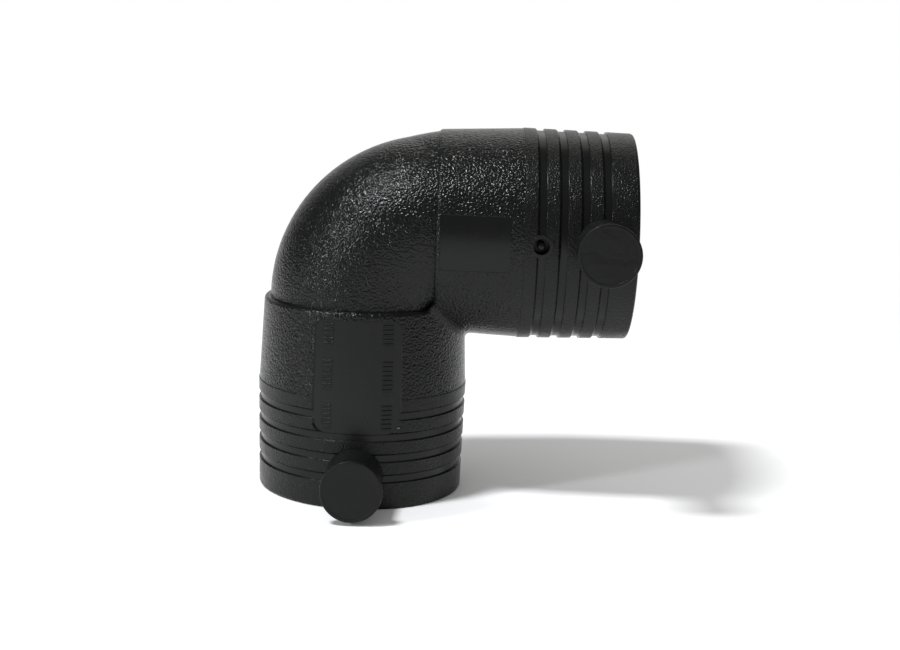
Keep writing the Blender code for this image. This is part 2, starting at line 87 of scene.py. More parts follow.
# Label recess on the lower socket and smooth pad on the side socket
RECESS_FROM_STEP = 2.8 * MM
RECESS_INTO_BANDS = 13.0 * MM
RECESS_WIDTH_TOP = 31.9 * MM
RECESS_WIDTH_BOTTOM = 32.4 * MM
RECESS_CORNER = 3.4 * MM
RECESS_DEPTH_TOP = 0.2 * MM
PAD_FROM_STEP = 1.7 * MM
PAD_TO_BANDS = 4.9 * MM
PAD_WIDTH = 20.6 * MM
PAD_CORNER = 1.0 * MM
PAD_DEPTH = 0.15 * MM
FIELD_DRAFT = 1.7

# Raised marks on the label recess: plain bars in two columns, three groups in each
MARK_ANGLE = math.radians(16.4)
MARK_WIDTH = 3.8 * MM
MARK_LENGTH = 0.8 * MM
MARK_HEIGHT = 0.42 * MM
MARK_ROUNDING = 0.32 * MM
MARK_PITCH = 1.7 * MM

# Start of each group and its number of bars
MARK_GROUPS = ((31.6 * MM, 5), (45.2 * MM, 7), (61.6 * MM, 6))

# Terminals and their caps
SHROUD_RADIUS = 9.5 * MM
SHROUD_FOOT_RADIUS = 10.8 * MM
SHROUD_BORE_RADIUS = 6.5 * MM
SHROUD_DEPTH = 16.9 * MM
SHROUD_RIM_ROUNDING = 0.4 * MM
PIN_SHANK_RADIUS = 1.5 * MM
CAP_ROUNDING = 0.55 * MM
CAP_BACK_ROUNDING = 0.45 * MM
CAP_PLUG_RADIUS = 6.2 * MM
CAP_PLUG_WALL = 1.5 * MM
CAP_THICKNESS = 2.7 * MM
CAP_RING = 1.2 * MM
CAP_DISH = 0.1 * MM

# Heating wire
WIRE_RADIUS = 0.45 * MM
COIL_TURNS = 8
COIL_PITCH = 3.2 * MM
COIL_SWING = 0.25 * MM
WIRE_BEND_RADIUS = 3.0 * MM
LINK_DEPTH = 2.9 * MM
LINK_DIVE = 4.0 * MM
LINK_BEYOND_STOP = 0.4 * MM

# Fusion indicator
INDICATOR_RADIUS = 1.55 * MM
INDICATOR_LENGTH = 4.2 * MM
INDICATOR_DOME = 0.8 * MM
INDICATOR_SUNK = 0.9 * MM
WELL_RADIUS = 3.0 * MM
WELL_WALL = 1.3 * MM

# Clearance, overlap where solids are joined, and limits for roundings, mitres and corners
SEAT_GAP = 0.3 * MM
JOIN = 0.5 * MM
PLATE_REACH = 4.0 * MM
ROUNDING_SHARE = 0.45
ROUND_PROFILE = 0.5
MITRE_LIMIT = 0.5
CORNER_TRIES = 10
NEAR = 0.05 * MM
WELD = 0.001 * MM

# Smoothness
ROUND_STEPS = 120
SMALL_STEPS = 72
CORNER_STEPS = 10
FILLET_STEPS = 6
ARC_STEPS = 4
BLEND_STEPS = 24
CROTCH_STEPS = 64
RIM_STEPS = 100
COIL_STEPS = 60
WIRE_RESOLUTION = 3
SHARP_ANGLE = math.radians(32)

# Places that follow from the frame
body_low, body_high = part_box("elbow_body")
cap_low, cap_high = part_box("terminal_cap_side")
CROSSING = Vector((body_low.x, body_high.y, body_high.z)) + BAND_RADIUS * Vector((1, -1, -1))
FACE_DISTANCE = body_high.x - CROSSING.x
SHROUD_REACH = CROSSING.y - body_low.y
CAP_FACE = CROSSING.y - cap_low.y
CAP_RADIUS = (cap_high.x - cap_low.x) / 2
TERMINAL_DISTANCE = (cap_low.x + cap_high.x) / 2 - CROSSING.x
STOP_DISTANCE = FACE_DISTANCE - INSERTION_DEPTH
SHROUD_FLOOR = SHROUD_REACH - SHROUD_DEPTH
COIL_RADIUS = BORE_RADIUS + WIRE_RADIUS + COIL_SWING
COIL_SEAT_RADIUS = COIL_RADIUS + WIRE_RADIUS + SEAT_GAP
LINK_RADIUS = BORE_RADIUS + LINK_DEPTH
LINK_TURN = STOP_DISTANCE + LINK_BEYOND_STOP
FRONT_ANGLE = -math.pi / 2
COIL_SWEEP = 2 * math.pi * (COIL_TURNS + 1) + FRONT_ANGLE
COIL_END = TERMINAL_DISTANCE - COIL_PITCH * COIL_SWEEP / (2 * math.pi)
LINK_START = COIL_END - WIRE_BEND_RADIUS
SEAT_START = LINK_START - WIRE_RADIUS - SEAT_GAP
SEAT_END = TERMINAL_DISTANCE + PIN_SHANK_RADIUS + 2 * SEAT_GAP
FIRST_BAND_START = FACE_DISTANCE - MOUTH_BAND_LENGTH - GROOVE_COUNT * GROOVE_PITCH
SOCKET_INNER_END = BEND_RADIUS - STEP_CORNER_RADIUS - STEP_ROUNDING
INDICATOR_DISTANCE = FIRST_BAND_START + GROOVE_PITCH - (GROOVE_FLOOR + GROOVE_SHOULDER) / 2

# Frames of the sockets: Z runs outwards along the socket and Y points to the front
PLACE = Matrix.Translation(CROSSING)
LOWER = Matrix.Rotation(math.pi, 4, "X")
SIDE = Matrix.Rotation(math.pi / 2, 4, "Y") @ Matrix.Rotation(math.pi, 4, "Z")
BEND = Matrix.Translation((BEND_RADIUS, 0, -BEND_RADIUS)) @ Matrix.Rotation(-math.pi / 2, 4, "X")

# Surfaces of the moulded body, each a material slot of its own
BODY_FINISHES = (
    "grained_plastic", "banded_plastic", "smooth_plastic", "bored_plastic", "shroud_plastic",
)
GRAINED, BANDED, SMOOTH, BORED, SHROUDED = range(len(BODY_FINISHES))

work_collection = bpy.data.collections.new("work")
bpy.context.scene.collection.children.link(work_collection)


def add_object(name, data):
    obj = bpy.data.objects.new(name, data)
    work_collection.objects.link(obj)
    return obj


def mesh_of(name, work, matrix):
    """Turns a bmesh into a placed object with the slots of the body."""
    bmesh.ops.recalc_face_normals(work, faces=work.faces)
    mesh = bpy.data.meshes.new(name)
    work.to_mesh(mesh)
    work.free()
    mesh.transform(matrix)
    for finish in BODY_FINISHES:
        mesh.materials.append(materials[finish])
    return add_object(name, mesh)


def on_front(socket, distance):
    """A frame on the socket's axis with its Z pointing to the front."""
    return socket @ Matrix.Translation((0, 0, distance)) @ Matrix.Rotation(-math.pi / 2, 4, "X")


def arc(start, corner, stop, steps):
    """Points, or one coordinate of them, on a curve that touches both sides of the corner."""
    shares = (step / steps for step in range(steps + 1))
    return [
        start * (1 - share) ** 2 + corner * 2 * share * (1 - share) + stop * share**2
        for share in shares
    ]


def rounded(corners):
    """Turns corners (radius, height, surface, rounding) into a profile with rounded corners."""
    profile = []
    for index, (radius, height, surface, rounding) in enumerate(corners):
        here = Vector((radius, height))
        if not rounding or index in (0, len(corners) - 1):
            profile.append((radius, height, surface))
            continue
        ends = [Vector(corners[index + step][:2]) - here for step in (-1, 1)]
        reach = [min(rounding, end.length * ROUNDING_SHARE) for end in ends]
        start, stop = (here + end.normalized() * size for end, size in zip(ends, reach))
        profile += [(*point, surface) for point in arc(start, here, stop, ARC_STEPS)]
    return profile


def revolve(name, profile, steps, matrix):
    """A closed solid turned about its local Z, with the surface of each ring of faces."""
    work = bmesh.new()
    rings = []
    for radius, height, _ in profile:
        if radius < WELD:
            rings.append([work.verts.new((0, 0, height))] * steps)
            continue
        turns = [2 * math.pi * step / steps for step in range(steps)]
        rings.append([
            work.verts.new((radius * math.cos(turn), radius * math.sin(turn), height))
            for turn in turns
        ])
    for ring, following, (_, _, surface) in zip(rings, rings[1:], profile):
        for step in range(steps):
            after = (step + 1) % steps
            corners = [ring[step], ring[after], following[after], following[step]]
            face = work.faces.new(list(dict.fromkeys(corners)))
            face.material_index = surface
            face.smooth = True
    return mesh_of(name, work, matrix)


def loft(work, rings, surface, endless=False):
    """Joins rings of corners by faces, and closes both ends unless the rings run round."""
    for ring, following in zip(rings, rings[1:] + rings[:1] if endless else rings[1:]):
        for side in range(len(ring)):
            after = (side + 1) % len(ring)
            face = work.faces.new([ring[side], ring[after], following[after], following[side]])
            face.smooth = True
            face.material_index = surface
    if not endless:
        for ring in (rings[0], rings[-1]):
            work.faces.new(ring).material_index = surface


def plain(points, surface):
    return [(radius, height, surface) for radius, height in points]


def cylinder(radius, top, bottom, surface):
    return plain([(0, top), (radius, top), (radius, bottom), (0, bottom)], surface)


def cleaned(obj):
    """The object's evaluated mesh, welded and with its many-sided faces split."""
    graph = bpy.context.evaluated_depsgraph_get()
    mesh = bpy.data.meshes.new_from_object(obj.evaluated_get(graph))
    mesh.name = obj.name
    work = bmesh.new()
    work.from_mesh(mesh)
    bmesh.ops.remove_doubles(work, verts=work.verts, dist=WELD)
    bmesh.ops.dissolve_degenerate(work, edges=work.edges, dist=WELD)
    bmesh.ops.triangulate(work, faces=[face for face in work.faces if len(face.verts) > 4])
    bmesh.ops.recalc_face_normals(work, faces=work.faces)
    work.to_mesh(mesh)
    work.free()
    return mesh


def combine(target, tool, operation):
    modifier = target.modifiers.new(tool.name, "BOOLEAN")
    modifier.operation = operation
    modifier.solver = "EXACT"
    modifier.object = tool
    mesh = cleaned(target)
    target.modifiers.clear()
    target.data = mesh
    bpy.data.objects.remove(tool, do_unlink=True)


def round_edges(work, edges, width, segments):
    bmesh.ops.bevel(
        work, geom=edges, offset=width, offset_type="OFFSET", segments=segments,
        profile=ROUND_PROFILE, affect="EDGES", clamp_overlap=True, material=-1,
    )


def shade(obj):
    """Smooth shading in which large faces keep their own normal and only the roundings blend."""
    obj.data.shade_smooth()
    obj.data.set_sharp_from_angle(angle=SHARP_ANGLE)
    weights = obj.modifiers.new("face_weights", "WEIGHTED_NORMAL")
    weights.mode = "FACE_AREA"
    weights.keep_sharp = True
    graph = bpy.context.evaluated_depsgraph_get()
    mesh = bpy.data.meshes.new_from_object(obj.evaluated_get(graph))
    mesh.name = obj.name
    obj.modifiers.clear()
    obj.data = mesh


def surface_radius(distance):
    """Radius of the socket's outside over the bands and the collar, leaving out the grooves."""
    if distance >= FIRST_BAND_START:
        share = (distance - FIRST_BAND_START) / (FACE_DISTANCE - FIRST_BAND_START)
        return BAND_RADIUS - (BAND_RADIUS - MOUTH_RADIUS) * share
    share = (FIRST_BAND_START - distance) / (FIRST_BAND_START - BEND_RADIUS)
    start = BAND_RADIUS - BAND_STEP
    return start - (start - COLLAR_RADIUS) * share


def socket_profile():
    """The socket's outside from its mouth to its collar."""
    corners = [
        (0, FACE_DISTANCE, SMOOTH, 0),
        (MOUTH_RADIUS, FACE_DISTANCE, BANDED, MOUTH_ROUNDING),
    ]
    for index in range(GROOVE_COUNT):
        wall = FACE_DISTANCE - MOUTH_BAND_LENGTH - index * GROOVE_PITCH
        floor_end = wall - GROOVE_FLOOR
        shoulder = floor_end - GROOVE_SHOULDER
        corners += [
            (surface_radius(wall), wall, SMOOTH, EDGE_ROUNDING),
            (surface_radius(wall) - GROOVE_DEPTH, wall, SMOOTH, EDGE_ROUNDING),
            (surface_radius(floor_end) - GROOVE_DEPTH, floor_end, SMOOTH, EDGE_ROUNDING),
            (surface_radius(shoulder), shoulder, BANDED, EDGE_ROUNDING),
        ]
    return rounded(corners + [
        (BAND_RADIUS, FIRST_BAND_START, BANDED, BAND_STEP / 2),
        (BAND_RADIUS - BAND_STEP, FIRST_BAND_START, GRAINED, 0),
        (surface_radius(SOCKET_INNER_END), SOCKET_INNER_END, GRAINED, 0),
        (0, SOCKET_INNER_END, GRAINED, 0),
    ])


def bore_profile():
    """The socket's inside: chamfered mouth, pipe bore, seat of the coil and the pipe stop."""
    entry = BORE_RADIUS + BORE_CHAMFER / 2
    return plain([
        (0, FACE_DISTANCE + JOIN),
        (entry, FACE_DISTANCE + JOIN),
        (entry, FACE_DISTANCE),
        (BORE_RADIUS, FACE_DISTANCE - BORE_CHAMFER),
        (BORE_RADIUS, SEAT_END),
        (COIL_SEAT_RADIUS, SEAT_END),
        (COIL_SEAT_RADIUS, SEAT_START),
        (BORE_RADIUS, SEAT_START),
        (BORE_RADIUS, STOP_DISTANCE),
        (0, STOP_DISTANCE),
    ], BORED)


def bend_profile():
    """The bend's section outside the bend axis: more than half a circle, closed by the axis."""
    half = math.acos(-BEND_RADIUS / BEND_TUBE_RADIUS)
    count = ROUND_STEPS // 2
    points = []
    for step in range(count + 1):
        angle = half - 2 * half * step / count
        radius = BEND_RADIUS + BEND_TUBE_RADIUS * math.cos(angle)
        points.append((radius if 0 < step < count else 0, BEND_TUBE_RADIUS * math.sin(angle)))
    return plain(points, GRAINED)


def blend_height(share):
    """Height of the blend over the side axis, an even curve from the bend up to the collar."""
    length = BLEND_END - BLEND_START
    outer = BEND_RADIUS + BEND_TUBE_RADIUS
    low = math.sqrt(outer**2 - (BEND_RADIUS - BLEND_START) ** 2) - BEND_RADIUS - BLEND_SUNK
    high = surface_radius(BLEND_END) - BLEND_SUNK
    eased = share**2 * (3 - 2 * share)
    start_lift = BLEND_SLOPE_AT_START * length * share * (1 - share) ** 2
    end_lift = BLEND_SLOPE_AT_END * length * share**2 * (1 - share)
    return low + (high - low) * eased + start_lift - end_lift


def blend_profile():
    """The blend is round about an axis above the side axis, so that it fades out on both flanks."""
    points = [(0, BLEND_END)]
    for step in reversed(range(BLEND_STEPS + 1)):
        share = step / BLEND_STEPS
        points.append((
            blend_height(share) - BLEND_RAISED, BLEND_START + (BLEND_END - BLEND_START) * share,
        ))
    return plain(points + [(0, BLEND_START)], GRAINED)


def floor_profile(start, end, depth_at_start, depth_at_end):
    """A round core that stays a given depth under the socket's outside."""
    points = [(0, end), (surface_radius(end) - depth_at_end, end)]
    if start < FIRST_BAND_START < end:
        points.append((BAND_RADIUS - depth_at_end, FIRST_BAND_START))
    return plain(points + [(surface_radius(start) - depth_at_start, start), (0, start)], SMOOTH)


def shroud_profile():
    foot = COIL_SEAT_RADIUS + 2 * JOIN
    return rounded([
        (0, SHROUD_REACH, SHROUDED, 0),
        (SHROUD_RADIUS, SHROUD_REACH, SHROUDED, SHROUD_RIM_ROUNDING),
        (SHROUD_FOOT_RADIUS, foot, SHROUDED, 0),
        (0, foot, SHROUDED, 0),
    ])


def shroud_hollow_profile():
    """The room round the pin, and the hole that takes its shank down to the seat of the coil."""
    hole = PIN_SHANK_RADIUS + SEAT_GAP
    return plain([
        (0, SHROUD_REACH + JOIN),
        (SHROUD_BORE_RADIUS, SHROUD_REACH + JOIN),
        (SHROUD_BORE_RADIUS, SHROUD_FLOOR),
        (hole, SHROUD_FLOOR),
        (hole, COIL_SEAT_RADIUS - 2 * JOIN),
        (0, COIL_SEAT_RADIUS - 2 * JOIN),
    ], SMOOTH)


def rounded_plate(name, start, length, start_width, end_width, rounding, socket):
    """A tapered plate through the front wall of a socket, with its four corners rounded."""
    work = bmesh.new()
    bmesh.ops.create_cube(work, size=1)
    near, far = COLLAR_RADIUS - PLATE_REACH, BAND_RADIUS + 2 * JOIN
    for vert in work.verts:
        width, distance = (end_width, start + length) if vert.co.z > 0 else (start_width, start)
        side_height = math.sqrt(surface_radius(distance) ** 2 - (width / 2) ** 2)
        height = far if vert.co.y > 0 else near
        vert.co.x *= width + 2 * FIELD_DRAFT * (height - side_height)
        vert.co.y = near + (far - near) * (vert.co.y + 0.5)
        vert.co.z = start + length * (vert.co.z + 0.5)
    corners = [edge for edge in work.edges if abs(edge.verts[0].co.y - edge.verts[1].co.y) > JOIN]
    round_edges(work, corners, rounding, CORNER_STEPS)
    for face in work.faces:
        face.material_index = SMOOTH
    return mesh_of(name, work, socket)


def box(name, low, high, surface):
    work = bmesh.new()
    low, high = Vector(low), Vector(high)
    place = Matrix.Translation((low + high) / 2) @ Matrix.Diagonal((*(high - low), 1))
    bmesh.ops.create_cube(work, size=1, matrix=place)
    for face in work.faces:
        face.material_index = surface
    return mesh_of(name, work, Matrix.Identity(4))


def swept(name, points, radius, sides, surface):
    """A round bar along a line of points in the plane of the two axes, with closed ends."""
    work = bmesh.new()
    upright = Vector((0, 1, 0))
    rings = []
    for index, point in enumerate(points):
        before, after = points[max(index - 1, 0)], points[min(index + 1, len(points) - 1)]
        turned = [(point - before).normalized(), (after - point).normalized()]
        along = (turned[0] + turned[1]).normalized()
        widen = 1 / max(along.dot(turned[0] if index else turned[1]), MITRE_LIMIT)
        across = upright.cross(along).normalized() * widen
        rings.append([
            work.verts.new(point + radius * (math.cos(turn) * across + math.sin(turn) * upright))
            for turn in (2 * math.pi * side / sides for side in range(sides))
        ])
    loft(work, rings, surface)
    return mesh_of(name, work, Matrix.Identity(4))


def crotch_section(across):
    """The rounded inner corner between the sockets, cut at a distance in front of their axes."""
    def outside(distance):
        return math.sqrt(surface_radius(distance) ** 2 - across**2)

    corner = COLLAR_RADIUS
    for _ in range(CORNER_TRIES):
        corner = outside(corner)
    end = corner + CROTCH_FILLET
    sideways = arc(end, corner, outside(end), FILLET_STEPS)
    downwards = arc(outside(end), corner, end, FILLET_STEPS)
    places = [
        (end, outside(end) - JOIN),
        *zip(sideways, downwards),
        (outside(end) - JOIN, end),
        (corner - JOIN, corner - JOIN),
    ]
    return [Vector((x, across, -z)) for x, z in places]


def crotch_web():
    """The fillet along the line where the outsides of the two sockets meet."""
    work = bmesh.new()
    rings = []
    for step in range(CROTCH_STEPS + 1):
        across = CROTCH_WIDTH * (step / CROTCH_STEPS - 0.5)
        rings.append([work.verts.new(place) for place in crotch_section(across)])
    loft(work, rings, GRAINED)
    return mesh_of("crotch_web", work, Matrix.Identity(4))


def swapped(place):
    """The same place on the other socket, mirrored across the diagonal."""
    return Vector((-place.z, place.y, -place.x))


def rim_stations():
    """The lower part of the step's rim in front of the axes, and its round corner.

    Each station has the foot and the direction of a ray that meets the rim, the direction up the
    wall of the step, and the direction that leads away from the wall.
    """
    inner = BEND_RADIUS - STEP_CORNER_RADIUS
    corner_turn = math.acos(inner / COLLAR_RADIUS)
    down = Vector((0, 0, -1))
    stations = []
    for step in range(RIM_STEPS):
        turn = -math.pi + (math.pi - corner_turn) * step / RIM_STEPS
        up = Vector((math.cos(turn), math.sin(turn), 0))
        stations.append((Vector((0, 0, -BEND_RADIUS)), up, up, down))
    for step in range(CORNER_STEPS + 1):
        turn = math.pi / 2 * step / CORNER_STEPS
        away = Vector((math.sin(turn), 0, -math.cos(turn)))
        foot = Vector((inner, 0, -inner)) + STEP_CORNER_RADIUS * away
        up = Vector((math.cos(corner_turn), -math.sin(corner_turn), 0)) * (1 - step / CORNER_STEPS)
        up += Vector((0, -math.sin(corner_turn), -math.cos(corner_turn))) * step / CORNER_STEPS
        up = (up - up.dot(away) * away).normalized()
        stations.append((foot, Vector((0, -1, 0)), up, away))
    return stations


def rim_rounding(body):
    """The bar that rounds the rim of the step when it is taken away from the sockets."""
    work = bmesh.new()
    work.from_mesh(body.data)
    surface = BVHTree.FromBMesh(work)
    work.free()

    def on_surface(foot, ray):
        return surface.ray_cast(foot + FACE_DISTANCE * ray, -ray)[0]

    front = rim_stations()
    half = front + [
        tuple(swapped(part) for part in station) for station in reversed(front[:RIM_STEPS])
    ]
    whole = half + [
        tuple(Vector((part.x, -part.y, part.z)) for part in station)
        for station in reversed(half[1:-1])
    ]
    work = bmesh.new()
    rings = []
    for foot, ray, up, away in whole:
        rim = on_surface(foot + WELD * away, ray)
        start = on_surface(foot + STEP_ROUNDING * away, ray)
        stop = rim - STEP_ROUNDING * up
        places = [
            rim - JOIN * away + 2 * JOIN * up,
            start + 2 * JOIN * up,
            *arc(start, rim, stop, FILLET_STEPS),
            stop - JOIN * away,
        ]
        rings.append([work.verts.new(place) for place in places])
    loft(work, rings, GRAINED, endless=True)
    return mesh_of("rim_rounding", work, Matrix.Identity(4))


def bend_room():
    """The room round the bend that is cut out of the sockets, with its inner corner rounded."""
    reach = FACE_DISTANCE
    room = box("bend_room", (-reach, -reach, -BEND_RADIUS), (BEND_RADIUS, reach, reach), GRAINED)
    work = bmesh.new()
    work.from_mesh(room.data)
    corner = [
        edge for edge in work.edges if all(
            abs(vert.co.x - BEND_RADIUS) < NEAR and abs(vert.co.z + BEND_RADIUS) < NEAR
            for vert in edge.verts
        )
    ]
    round_edges(work, corner, STEP_CORNER_RADIUS, CORNER_STEPS)
    work.to_mesh(room.data)
    work.free()
    return room


def with_side_half(lower):
    """Adds the side socket's half of a line, which mirrors the lower half across the diagonal."""
    return lower + [swapped(place) for place in reversed(lower)]


def link_points():
    """Half of the link between the coils: from the lower coil to the turn inside the crotch."""
    return [
        Vector((COIL_RADIUS, 0, -LINK_START)),
        Vector((LINK_RADIUS, 0, LINK_DIVE - LINK_START)),
        Vector((LINK_RADIUS, 0, -LINK_TURN)),
    ]


def wire_points():
    """The heating wire: coil of the lower socket, link, coil of the side socket."""
    turn_off = WIRE_BEND_RADIUS / COIL_RADIUS
    count = round(COIL_SWEEP / (2 * math.pi) * COIL_STEPS)
    coil = []
    for step in range(count + 1):
        share = step / count
        angle = FRONT_ANGLE - (COIL_SWEEP - turn_off) * share
        coil.append((angle, TERMINAL_DISTANCE + (COIL_END - TERMINAL_DISTANCE) * share))
    for step in range(1, CORNER_STEPS):
        turn = math.pi / 2 * step / CORNER_STEPS
        coil.append((
            FRONT_ANGLE - COIL_SWEEP + turn_off * (1 - math.sin(turn)),
            COIL_END - WIRE_BEND_RADIUS * (1 - math.cos(turn)),
        ))
    lower = [
        Vector((COIL_RADIUS * math.cos(angle), COIL_RADIUS * math.sin(angle), -distance))
        for angle, distance in coil
    ]
    return with_side_half(lower + link_points())


def passage_points():
    """Half of the centre line of the passage: from the lower pipe stop to the diagonal."""
    points = [Vector((0, 0, -STOP_DISTANCE - JOIN))]
    steps = ROUND_STEPS // 8
    for step in range(steps + 1):
        angle = math.pi / 4 * (step - 0.5) / steps if step else 0.0
        points.append(Vector((
            BEND_RADIUS * (1 - math.cos(angle)), 0, -BEND_RADIUS * (1 - math.sin(angle)),
        )))
    return points


def join_bend(body):
    """Cuts the sockets back round the bend, rounds the rim of that step and adds the bend."""
    combine(body, bend_room(), "DIFFERENCE")
    combine(body, rim_rounding(body), "DIFFERENCE")

    bend = revolve("bend", bend_profile(), ROUND_STEPS, BEND)
    reach, limit = FACE_DISTANCE, BEND_RADIUS + JOIN
    quarter = box("bend_quarter", (-reach, -reach, -limit), (limit, reach, reach), GRAINED)
    combine(bend, quarter, "INTERSECT")
    combine(body, bend, "UNION")
    raised = SIDE @ Matrix.Translation((BLEND_RAISED, 0, 0))
    combine(body, revolve("outer_blend", blend_profile(), ROUND_STEPS, raised), "UNION")


def cut_plate(body, name, start, end, widths, rounding, depths, socket):
    """Cuts a shallow field with rounded corners into the front of a socket."""
    plate = rounded_plate(name, start, end - start, *widths, rounding, socket)
    core = floor_profile(start - JOIN, end + JOIN, *depths)
    combine(plate, revolve(name + "_floor", core, ROUND_STEPS, socket), "DIFFERENCE")
    combine(body, plate, "DIFFERENCE")


def recess_floor(distance):
    """Radius of the floor of the label recess."""
    if distance > FIRST_BAND_START:
        return surface_radius(distance) - GROOVE_DEPTH
    start = BEND_RADIUS + RECESS_FROM_STEP - JOIN
    share = (distance - start) / (FIRST_BAND_START - start)
    top = surface_radius(start) - RECESS_DEPTH_TOP
    return top + (BAND_RADIUS - GROOVE_DEPTH - top) * share


def raised_marks():
    """Plain bars with rounded tops, standing on the floor of the label recess."""
    work = bmesh.new()
    for vert in bmesh.ops.create_cube(work, size=1)["verts"]:
        vert.co.x = MARK_HEIGHT if vert.co.x > 0 else -JOIN
        vert.co.y *= MARK_WIDTH
        vert.co.z *= MARK_LENGTH
    top = [edge for edge in work.edges if all(vert.co.x > 0 for vert in edge.verts)]
    round_edges(work, top, MARK_ROUNDING, ARC_STEPS)
    for face in work.faces:
        face.material_index = SMOOTH
    bar = bpy.data.meshes.new("raised_mark")
    work.to_mesh(bar)
    work.clear()
    for side in (-1, 1):
        for start, count in MARK_GROUPS:
            for index in range(count):
                distance = start + index * MARK_PITCH
                place = (
                    Matrix.Rotation(math.pi / 2 + side * MARK_ANGLE, 4, "Z")
                    @ Matrix.Translation((recess_floor(distance), 0, distance))
                )
                built = len(work.verts)
                work.from_mesh(bar)
                work.verts.ensure_lookup_table()
                bmesh.ops.transform(work, matrix=place, verts=work.verts[built:])
    return mesh_of("raised_marks", work, LOWER)


def build_body():
    """The moulded body: two sockets, the bend, two terminal shrouds and the indicator's boss."""
    body = revolve("moulded_body", socket_profile(), ROUND_STEPS, LOWER)
    combine(body, revolve("side_socket", socket_profile(), ROUND_STEPS, SIDE), "UNION")
    combine(body, crotch_web(), "UNION")
    join_bend(body)

    for socket in (LOWER, SIDE):
        terminal = on_front(socket, TERMINAL_DISTANCE)
        combine(body, revolve("shroud", shroud_profile(), SMALL_STEPS, terminal), "UNION")
    indicator = on_front(SIDE, INDICATOR_DISTANCE)
    boss_top = surface_radius(INDICATOR_DISTANCE)
    boss = rounded([
        (0, boss_top, SMOOTH, 0),
        (WELL_RADIUS + WELL_WALL, boss_top, BANDED, EDGE_ROUNDING),
        (WELL_RADIUS + WELL_WALL, boss_top - INDICATOR_LENGTH, SMOOTH, 0),
        (0, boss_top - INDICATOR_LENGTH, SMOOTH, 0),
    ])
    combine(body, revolve("indicator_boss", boss, SMALL_STEPS, indicator), "UNION")
    cut_plate(
        body, "label_recess", BEND_RADIUS + RECESS_FROM_STEP, FIRST_BAND_START + RECESS_INTO_BANDS,
        (RECESS_WIDTH_TOP, RECESS_WIDTH_BOTTOM), RECESS_CORNER,
        (RECESS_DEPTH_TOP, GROOVE_DEPTH), LOWER,
    )
    combine(body, raised_marks(), "UNION")
    cut_plate(
        body, "smooth_pad", BEND_RADIUS + PAD_FROM_STEP, FIRST_BAND_START - PAD_TO_BANDS,
        (PAD_WIDTH, PAD_WIDTH), PAD_CORNER, (PAD_DEPTH, PAD_DEPTH), SIDE,
    )

    for socket in (LOWER, SIDE):
        combine(body, revolve("bore", bore_profile(), ROUND_STEPS, socket), "DIFFERENCE")
        terminal = on_front(socket, TERMINAL_DISTANCE)
        hollow = revolve("hollow", shroud_hollow_profile(), SMALL_STEPS, terminal)
        combine(body, hollow, "DIFFERENCE")
    well_floor = boss_top - INDICATOR_SUNK - INDICATOR_LENGTH - SEAT_GAP
    well = cylinder(WELL_RADIUS, boss_top + JOIN, well_floor, SMOOTH)
    combine(body, revolve("indicator_well", well, SMALL_STEPS, indicator), "DIFFERENCE")
    passage = swept("passage", with_side_half(passage_points()), PASSAGE_RADIUS, ROUND_STEPS, BORED)
    combine(body, passage, "DIFFERENCE")
    channel = swept(
        "link_channel", with_side_half(link_points()), WIRE_RADIUS + SEAT_GAP, CORNER_STEPS, BORED,
    )
    combine(body, channel, "DIFFERENCE")
    body.data.transform(PLACE)
    shade(body)
    return body


def build_cap(name, socket):
    """A push-in cap: a round head with soft edges and a hollow plug."""
    underside = CAP_FACE - CAP_THICKNESS
    plug_end = CROSSING.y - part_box(name)[1].y
    inner = CAP_PLUG_RADIUS - CAP_PLUG_WALL
    profile = rounded([
        (0, CAP_FACE - CAP_DISH, SMOOTH, 0),
        (CAP_RADIUS - CAP_RING - CAP_DISH, CAP_FACE - CAP_DISH, SMOOTH, CAP_DISH),
        (CAP_RADIUS - CAP_RING, CAP_FACE, SMOOTH, CAP_DISH),
        (CAP_RADIUS, CAP_FACE, SMOOTH, CAP_ROUNDING),
        (CAP_RADIUS, underside, SMOOTH, CAP_BACK_ROUNDING),
        (CAP_PLUG_RADIUS, underside, SMOOTH, 0),
        (CAP_PLUG_RADIUS, plug_end, SMOOTH, CAP_ROUNDING),
        (inner, plug_end, SMOOTH, 0),
        (inner, underside, SMOOTH, 0),
        (0, underside, SMOOTH, 0),
    ])
    cap = revolve(name + "_cap", profile, ROUND_STEPS, PLACE @ on_front(socket, TERMINAL_DISTANCE))
    for face in cap.data.polygons:
        face.material_index = 0
    cap.data.materials.clear()
    cap.data.materials.append(materials["cap_moulding"])
    shade(cap)
    return cap


def build_indicator():
    tip = surface_radius(INDICATOR_DISTANCE) - INDICATOR_SUNK
    points = []
    for step in range(CORNER_STEPS + 1):
        turn = math.pi / 2 * step / CORNER_STEPS
        points.append((
            INDICATOR_RADIUS * math.sin(turn), tip - INDICATOR_DOME * (1 - math.cos(turn)),
        ))
    points += [(INDICATOR_RADIUS, tip - INDICATOR_LENGTH), (0, tip - INDICATOR_LENGTH)]
    place = PLACE @ on_front(SIDE, INDICATOR_DISTANCE)
    indicator = revolve("indicator_pin", plain(points, SMOOTH), SMALL_STEPS, place)
    shade(indicator)
    return indicator


def build_wire():
    curve = bpy.data.curves.new("heating_coils", "CURVE")
    curve.dimensions = "3D"
    curve.bevel_depth = WIRE_RADIUS
    curve.bevel_resolution = WIRE_RESOLUTION
    curve.use_fill_caps = True
    points = wire_points()
    spline = curve.splines.new("POLY")
    spline.points.add(len(points) - 1)
    for point, place in zip(spline.points, points):
        point.co = (*(place + CROSSING), 1)
    curve.materials.append(materials["wire_metal"])
    return add_object("heating_coils", curve)


